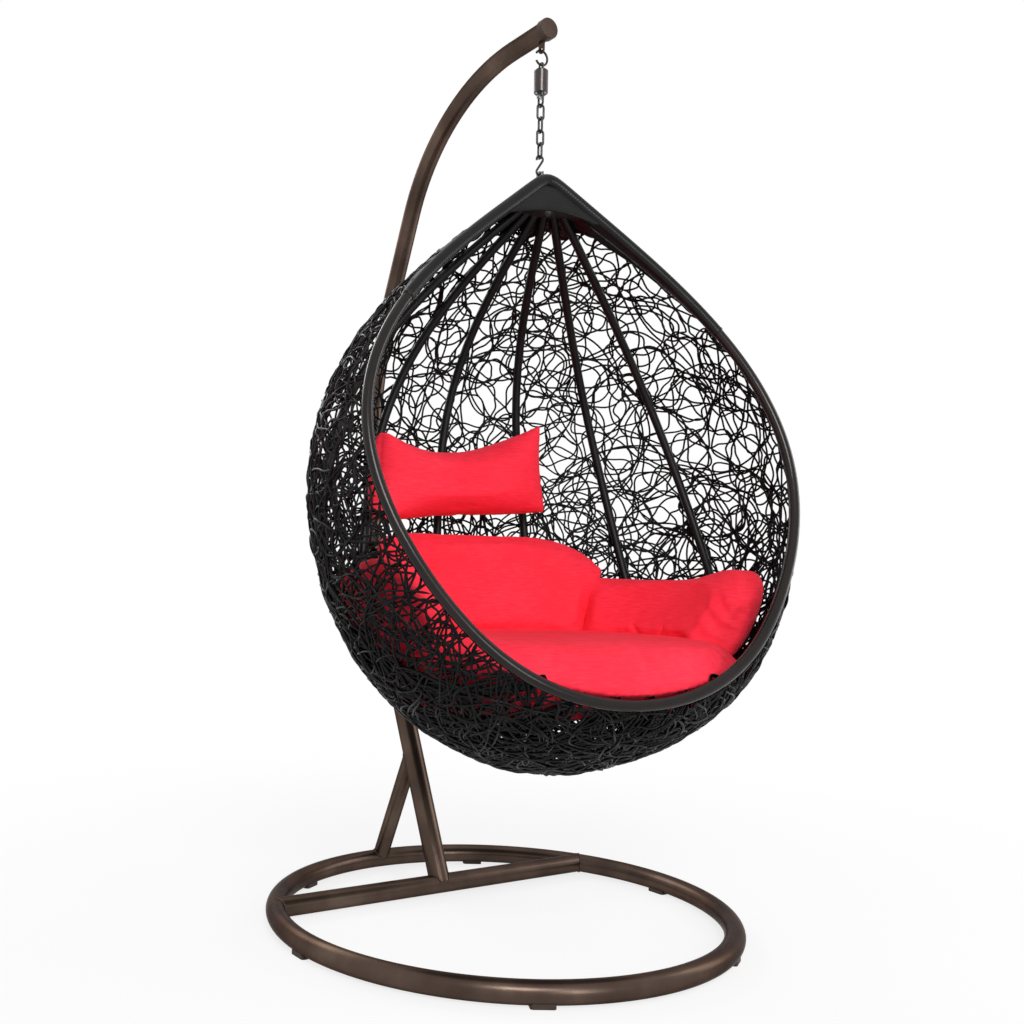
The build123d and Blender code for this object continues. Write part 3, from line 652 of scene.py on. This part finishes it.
def apex_shade_sheet():
    """A black sheet of wound strand between the two limbs that paints the shade under the apex, drawn as a thin
    crowned gusset in the plane of the mouth, with a ridge per strand, from near the apex down to the arch depth = top
    + tall + arch a^2, a from -1 to 1 between the limbs."""
    top, tall, arch = 14.0, 66.0, 26.0
    half_thick, ridge_height, forward, share_of_width = 4.0, 0.5, 1.5, 0.98
    across = np.linspace(-1, 1, 61)[:, None]
    down = np.linspace(0, 1, 60)[None, :]
    depth = top + down * (tall + arch * across**2)
    limb = rim_point(np.linspace(0, radians(40), 400))
    width = np.interp(depth, (limb - APEX) @ MOUTH_DOWN, limb[:, 0])
    thick = half_thick + ridge_height * ridges(pi * depth / WRAP_PITCH)
    half = thick * crowned(across, 2 * down - 1, 10, 10, 0.5)
    middle = APEX + MOUTH_DOWN * depth[..., None] - MOUTH_BACK * forward
    middle = middle + SIDEWAYS * (width * across * share_of_width)[..., None]
    # the sheet is painted shade: it darkens the hollow under the apex and hides what lies behind it
    wound_sheet("apex_shade_sheet", middle - MOUTH_BACK * half[..., None], middle + MOUTH_BACK * half[..., None])


def rim_turn(z, back):
    """Ellipse angle at which the levels z meet a plane that lies back millimetres behind the mouth."""
    _, half_depth, middle = egg_section(z)
    plane_y = APEX_Y - (APEX_Z - z) * tan(MOUTH_TILT) + back
    return np.arccos(np.clip((plane_y - middle) / half_depth, -1, 1))


def apex_winding():
    """Strand wound round the back of the apex over the tops of the ribs: a sheet on the egg, ridged once per turn,
    from limb to limb, whose lower edge rises and falls as tall + wave cos(6 pi a), a from -1 to 1 round it."""
    top, tall, wave = 16.0, 78.0, 7.0
    off_egg, half_thick, ridge_height, behind_rim = 4.0, 2.6, 0.9, 6.0
    around = np.linspace(-1, 1, 121)[:, None]
    down = np.linspace(0, 1, 60)[None, :]
    depth = top + down * (tall + wave * np.cos(6 * pi * around))
    z = APEX_Z - depth
    turn = around * rim_turn(z, behind_rim)
    thick = half_thick + ridge_height * ridges(pi * depth / WRAP_PITCH)
    half = thick * crowned(around, 2 * down - 1, 16, 12, 0.5)
    wound_sheet("apex_winding", wall_point(turn, z, -off_egg - half), wall_point(turn, z, -off_egg + half))


def limb_winding(name, side):
    """Strand wound round one limb of the rim and the first rows of the weave behind it: a sheet on the egg from
    the rim back, ridged once per turn, widest near the apex and narrowing down the limb with an uneven edge."""
    widest, narrowest, uneven = 88.0, 5.0, 3.0
    off_egg, half_thick, ridge_height, behind_rim, slant = 4.5, 5.2, 0.5, 4.0, 0.25
    down = np.linspace(0, 1, 130)[None, :]
    back = np.linspace(0, 1, 34)[:, None]
    highest = APEX_Z - 18.0
    lowest = rim_point(np.array([WRAP_END]))[0, 2]
    z = highest - down * (highest - lowest) + 0 * back
    half_width, half_depth, _ = egg_section(z)
    wide = widest * (1 - down) ** 0.8 + narrowest + uneven * np.sin(23 * down) * (1 - down)
    turn = side * np.maximum(rim_turn(z, behind_rim) - back * wide * 2 / (half_width + half_depth), 0)
    thick = half_thick + ridge_height * ridges(pi * (z + slant * back * wide) / WRAP_PITCH)
    half = thick * crowned(2 * back - 1, 2 * down - 1, 6, 30, 0.5)
    wound_sheet(name, wall_point(turn, z, -off_egg - half), wall_point(turn, z, -off_egg + half))


# ---- cushions ----
def pillow_grid(across_count, up_count, pull, fullness):
    """Two directions of a pillow, u and v from -1 to 1, close together near the seam. Its edges are pulled in
    by pull between the corners, and its crown is a superellipse of power fullness both ways."""
    u = np.sin(np.linspace(-pi / 2, pi / 2, across_count))[:, None]
    v = np.sin(np.linspace(-pi / 2, pi / 2, up_count))[None, :]
    across = u * (1 - pull * (1 - v**2) * u**2)
    up = v * (1 - pull * (1 - u**2) * v**2)
    return across, up, crowned(u, v, fullness, fullness, 1 / fullness)


def cushion(name, front, back, seam, closed_columns=False):
    """Two grids of points that meet at their edges as one closed cushion, and the line of its seam."""
    vertices, faces = sheet_pair(front, back, closed_columns)
    return new_piece(name, to_world(vertices), faces, FINISHES["red_fabric"], merge=1e-4), to_world(seam)


def wall_cushion(name, turns, low, high, thickness, pull=0.02, fullness=3.2, gather=lambda u: 0.0):
    """A pillow bent along the wall of the egg: u is the ellipse angle between two turns in degrees, v the height
    between low(u) and high(u), and its two sheets stand half the local thickness off the middle of the layer.
    The face has folds gather(u) high that fan out from its lower edge."""
    start, end = np.radians(turns)
    u, v, crown = pillow_grid(60, 40, pull, fullness)
    turn = (start + end) / 2 + u * (end - start) / 2
    bottom, top = low(u), high(u)
    z = (bottom + top) / 2 + v * (top - bottom) / 2
    thick = thickness(u)
    middle = PAD_INSET + thick / 2
    fold = gather(u) * np.sin(5 * pi * v + 3 * u + 1.5 * np.sin(9 * u)) * np.minimum(crown * 2, 1)
    back = wall_point(turn, z, middle - crown * thick / 2)
    front = wall_point(turn, z, middle + crown * thick / 2 + fold)
    return cushion(name, front, back, np.concatenate([front[:, 0], front[-1], front[::-1, -1], front[0, ::-1]]))


def back_cushion():
    """Level below, and above as top - shoulder |u|^3, with the right shoulder lower than the left."""
    foot, top, right_shoulder, left_shoulder, thick = 34.0, 842.0, 84.0, 34.0, 104.0
    return wall_cushion(
        "back_cushion",
        (-44, 38.5),
        lambda u: SEAT_TOP - foot + 0 * u,
        lambda u: top - np.where(u > 0, right_shoulder, left_shoulder) * np.abs(u) ** 3,
        lambda u: thick + 0 * u,
    )


def arm_cushion(name, start, end):
    """An arm from the back at start to its front end, in degrees, where it swells into a bolster with gathers: its
    top has a bell-shaped swell near the front and droops at the end, and it is thickest just past its middle."""
    foot, top, swell, swell_at, swell_width = 40.0, 742.0, 24.0, 0.78, 0.2
    droop, droop_from, thick, bolster, gathers, gathers_from = 46.0, 0.84, 92.0, 26.0, 3.5, 0.7
    side = 1 if end > start else -1

    def out(u):
        return (1 + side * u) / 2

    def near_end(u, first):
        return np.clip((out(u) - first) / (1 - first), 0, 1) ** 2

    return wall_cushion(
        name,
        sorted((start, end)),
        lambda u: SEAT_TOP - foot + 0 * u,
        lambda u: top + swell * np.exp(-(((out(u) - swell_at) / swell_width) ** 2)) - droop * near_end(u, droop_from),
        lambda u: thick + bolster * np.sin(pi * np.clip(out(u), 0, 1) ** 1.2),
        gather=lambda u: gathers * near_end(u, gathers_from),
    )


def head_cushion():
    """A pillow whose lower and upper edges are parabolas that lean up to the right and sag in the middle."""
    foot, top, thick = 856.0, 1029.0, 108.0
    return wall_cushion(
        "head_cushion",
        (-47, 18),
        lambda u: foot + 20.0 * u + 6.0 * u**2,
        lambda u: top + 26.0 * u + 36.0 * u**2,
        lambda u: thick + 0 * u,
        pull=0.035,
        fullness=3.0,
    )


SEAT_MIDDLE = -120.0            # y about which the seat is laid out
SEAT_LEVEL = 578.0              # of the section that its outline follows
SEAT_OUT = 10.0                 # how far the outline goes out past the backs of the other cushions
SEAM_LEVEL = 574.0
SEAM_DROP = 55.0                # how far the seam falls to the front, in the middle
SEAM_SIDE_RISE = 28.0           # and how much less at 190 mm to either side
SEAM_SIDE = 190.0
FRONT_FROM = -150.0             # y at which the droop to the front begins, and how long it is
FRONT_LENGTH = 230.0
FRONT_BACK = 6.0                # how far the front line falls back at 200 mm to either side
FRONT_SIDE = 200.0
OVER_RIM_FROM = -322.0          # y at which the underside climbs over the rim, in how far, and how high
OVER_RIM_LENGTH = 30.0
OVER_RIM_HEIGHT = 24.0
RIM_TOP_LEVEL = 487.0           # top of the rim under the seat, in the middle of the front
TUFT = (55.0, -318.0)           # x and y
TUFT_DEPTH = 7.0
TUFT_RADIUS = 16.0


def seat_reach(sine, cosine):
    """Distance from the seat's middle to its outline along each direction: to the egg's section, an ellipse, and
    to the line behind the rim, which falls back towards its ends as the rim does, softly the less of the two."""
    width, depth, middle = egg_section(SEAT_LEVEL, PAD_INSET - SEAT_OUT)
    a = (sine / width) ** 2 + (cosine / depth) ** 2
    b = 2 * (SEAT_MIDDLE - middle) * cosine / depth**2
    c = ((SEAT_MIDDLE - middle) / depth) ** 2 - 1
    to_wall = (-b + np.sqrt(b**2 - 4 * a * c)) / (2 * a)
    forward = np.maximum(-cosine, 0.05)
    to_front = (SEAT_MIDDLE - SEAT_FRONT) / forward
    to_front = to_front - FRONT_BACK * np.clip(to_front * sine / FRONT_SIDE, -1, 1) ** 2 / forward
    return (to_wall**-20 + to_front**-20) ** (-1 / 20)


def bowl_height(x, y, inset):
    """Height of the bowl's inner face under points x, y, between its bottom and its widest level."""

    def inside(z):
        width, depth, middle = egg_section(z, inset)
        return (x / np.maximum(width, 1)) ** 2 + ((y - middle) / np.maximum(depth, 1)) ** 2 < 1

    bottom = np.full(x.shape, APEX_Z - EGG_HEIGHT + inset + 1.0)
    return closed_in(inside, bottom, np.full(x.shape, 700.0), 20)[1]


def seat_cushion():
    """A round slab in polar form about its middle: the top is crowned and droops to the front, with one tuft, the
    underside is the bowl, and at the front the seam lies along the top of the rim, which rises to both sides."""
    shares = np.sin(np.linspace(0, pi / 2, 44))
    share, turn = np.meshgrid(shares, np.linspace(0, 2 * pi, 120, endpoint=False), indexing="ij")
    sine, cosine = np.sin(turn), np.cos(turn)
    reach = seat_reach(sine, cosine)
    x = reach * share * sine
    y = SEAT_MIDDLE + reach * share * cosine
    forward = np.clip((FRONT_FROM - y) / FRONT_LENGTH, 0, 1)
    edge = np.clip(1 - share**7, 0, 1) ** 0.5
    seam = SEAM_LEVEL - (SEAM_DROP - SEAM_SIDE_RISE * np.clip(x / SEAM_SIDE, -1, 1) ** 2) * forward**1.5
    top_rise = SEAT_TOP - 4.0 * forward**2 - seam
    tuft = TUFT_DEPTH * np.exp(-((x - TUFT[0]) ** 2 + (y - TUFT[1]) ** 2) / TUFT_RADIUS**2)
    top = np.stack([x, y, seam + edge * top_rise - tuft * edge], -1)
    over_rim = np.clip((OVER_RIM_FROM - y) / OVER_RIM_LENGTH, 0, 1)
    under = np.maximum(bowl_height(x, y, PAD_INSET + 2), RIM_TOP_LEVEL + OVER_RIM_HEIGHT * over_rim)
    under = np.minimum(under, seam)
    low = np.stack([x, y, seam - edge * (seam - under)], -1)
    return cushion("seat_cushion", top, low, top[-1], closed_columns=True)


CLOTH_STEPS = 20
SEAM_STEP = 0.002               # metres, as in all of sew and plump
GROOVE_DEPTH = 0.0024
GROOVE_REACH = 0.0042
PUCKER_DEPTH = 0.0009
PUCKER_REACH = 0.015
PUCKER_PITCH = 0.022
PUCKER_DRIFT = 0.19             # length over which the puckers crowd and spread


def sew(piece, before, seam):
    """Draw the cloth in along its seam: a groove about 8 mm wide at the points that began near the seam, between
    shallow puckers that die out 25 mm from it. Each is a bell curve of the first distance to the seam."""
    steps = np.linalg.norm(np.diff(seam, axis=0, prepend=seam[:1]), axis=1).cumsum()
    even = np.arange(0, steps[-1], SEAM_STEP)
    line = np.stack([np.interp(even, steps, seam[:, axis]) for axis in range(3)], -1)
    tree = KDTree(len(line))
    for index, point in enumerate(line):
        tree.insert(point, index)
    tree.balance()
    found = [tree.find(point)[1:] for point in before]
    place = np.array([index for index, _ in found]) * SEAM_STEP
    gap = np.array([distance for _, distance in found])
    piece.data.update()
    normal = np.empty(before.size)
    piece.data.vertices.foreach_get("normal", normal)
    here = np.empty(before.size)
    piece.data.vertices.foreach_get("co", here)
    pucker = np.sin(2 * pi * place / PUCKER_PITCH + 2.5 * np.sin(2 * pi * place / PUCKER_DRIFT))
    draw = GROOVE_DEPTH * np.exp(-((gap / GROOVE_REACH) ** 2))
    draw = draw + PUCKER_DEPTH * (1 + pucker) * np.exp(-((gap / PUCKER_REACH) ** 2))
    here = here.reshape(-1, 3) - normal.reshape(-1, 3) * draw[:, None]
    piece.data.vertices.foreach_set("co", here.ravel())


def plump(piece, seam, voxel=0.006, pressure=4.0, cap=0.014):
    """Remesh, swell as cloth under pressure with no gravity, hold each point within cap of where it was, and
    draw the seam in."""
    bpy.ops.object.select_all(action="DESELECT")
    bpy.context.view_layer.objects.active = piece
    piece.select_set(True)
    remesh = piece.modifiers.new("remesh", "REMESH")
    remesh.mode = "VOXEL"
    remesh.voxel_size = voxel
    bpy.ops.object.modifier_apply(modifier=remesh.name)
    count = len(piece.data.vertices)
    before = np.empty(count * 3)
    piece.data.vertices.foreach_get("co", before)
    cloth = piece.modifiers.new("cloth", "CLOTH")
    cloth.settings.use_pressure = True
    cloth.settings.uniform_pressure_force = pressure
    cloth.settings.effector_weights.gravity = 0
    cloth.settings.quality = 5
    scene = bpy.context.scene
    for step in range(1, CLOTH_STEPS + 1):
        scene.frame_set(step)
    bpy.ops.object.modifier_apply(modifier=cloth.name)
    scene.frame_set(1)
    after = np.empty(count * 3)
    piece.data.vertices.foreach_get("co", after)
    move = (after - before).reshape(-1, 3)
    length = np.linalg.norm(move, axis=1, keepdims=True)
    held = before.reshape(-1, 3) + move * np.minimum(1, cap / np.maximum(length, 1e-9))
    piece.data.vertices.foreach_set("co", held.ravel())
    sew(piece, before.reshape(-1, 3), seam)
    piece.data.polygons.foreach_set("use_smooth", np.ones(len(piece.data.polygons), bool))
    piece.data.update()


def finish_cushion(piece, node):
    """One more level of subdivision, the CAD node that the cushion stands for hidden, and the cushion attached to the
    basket.
    """
    finer = piece.modifiers.new("finer", "SUBSURF")
    finer.levels = 1
    finer.render_levels = 1
    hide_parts(node)
    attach(piece, "basket")


def cushions():
    """Seat, back, two arms and the head pillow, each plumped on its own."""
    made = [
        (seat_cushion(), "seat_pad", 0.8),
        (back_cushion(), "back_pad", 0.8),
        (arm_cushion("right_arm_cushion", 31, 122), "right_arm_pad", 0.8),
        (arm_cushion("left_arm_cushion", -39, -122), "left_arm_pad", 0.8),
        (head_cushion(), "head_pillow", 0.7),
    ]
    for (piece, seam), node, fill in made:
        plump(piece, seam)
        finish_cushion(piece, node)


# ---- camera, light and stage ----
def camera():
    """Eye 0.73 m above the floor and 2.5 m off, left of the front, looking slightly up and rolled by 1.6 degrees."""
    turn, pitch, roll = radians(32.1), radians(4.47), 0.02795
    ahead = Vector((sin(turn) * cos(pitch), cos(turn) * cos(pitch), sin(pitch)))
    level = Vector((cos(turn), -sin(turn), 0))
    above = level.cross(ahead)
    right = level * cos(roll) + above * sin(roll)
    up = above * cos(roll) - level * sin(roll)
    eye = Vector((-1.5648, -1.9351, 0.7347))
    lens = bpy.data.cameras.new("camera")
    lens.sensor_width = 36.0
    lens.lens = 39.55
    lens.shift_x = 0.1357
    lens.shift_y = -0.0272
    view = bpy.data.objects.new("camera", lens)
    view.matrix_world = Matrix.Translation(eye) @ Matrix((right, up, -ahead)).transposed().to_4x4()
    bpy.context.scene.collection.objects.link(view)
    bpy.context.scene.camera = view


def softbox(name, place, target, size, power):
    """A rectangular area light, width and height in metres and power in watts, at place and turned to target."""
    lamp = bpy.data.lights.new(name, "AREA")
    lamp.shape = "RECTANGLE"
    lamp.size, lamp.size_y = size
    lamp.energy = power
    box = bpy.data.objects.new(name, lamp)
    aim = Vector(target) - Vector(place)
    box.matrix_world = Matrix.Translation(place) @ aim.to_track_quat("-Z", "Y").to_matrix().to_4x4()
    bpy.context.scene.collection.objects.link(box)


def surround():
    """A world that is white to the camera and in reflections, and lights the object at about half of that."""
    world = bpy.data.worlds.new("surround")
    bpy.context.scene.world = world
    world.use_nodes = True
    tree = world.node_tree
    path = add(tree, "ShaderNodeLightPath").outputs
    through = {0: path["Is Camera Ray"], 1: path["Is Transmission Ray"]}
    seen = add(tree, "ShaderNodeMath", through, operation="MAXIMUM")
    seen = add(tree, "ShaderNodeMath", {0: seen, 1: path["Is Glossy Ray"]}, operation="MAXIMUM")
    fill = add(tree, "ShaderNodeBackground", {"Color": WHITE, "Strength": 0.55})
    white = add(tree, "ShaderNodeBackground", {"Color": WHITE, "Strength": 1.0})
    mix = add(tree, "ShaderNodeMixShader", {"Fac": seen, 1: fill, 2: white})
    plug(tree, tree.nodes["World Output"], {"Surface": mix})


def studio():
    """The surround, four softboxes and a pale floor."""
    surround()
    middle = (0, -0.05, 0.95)
    softbox("key", (-1.6, -3.2, 2.9), middle, (1.4, 1.4), 85)
    softbox("front", (-0.4, -3.6, 1.2), (0, 0, 0.6), (0.5, 1.6), 26)
    softbox("side", (3.2, -1.2, 1.8), middle, (1.2, 2.2), 28)
    softbox("rear", (-0.5, 3.2, 2.6), middle, (2.2, 1.2), 35)
    half = 12.0
    corners = np.array([[-half, -half, 0], [half, -half, 0], [half, half, 0], [-half, half, 0]])
    floor = new_piece("floor", corners, np.array([[0, 1, 2, 3]]), backdrop())


finish_cad_nodes()
welds()
spring_coil()
weave()
rim_binding()
apex_shade_sheet()
apex_winding()
limb_winding("left_limb_winding", -1)
limb_winding("right_limb_winding", 1)
cushions()
camera()
studio()
bpy.context.scene.view_settings.view_transform = "Standard"
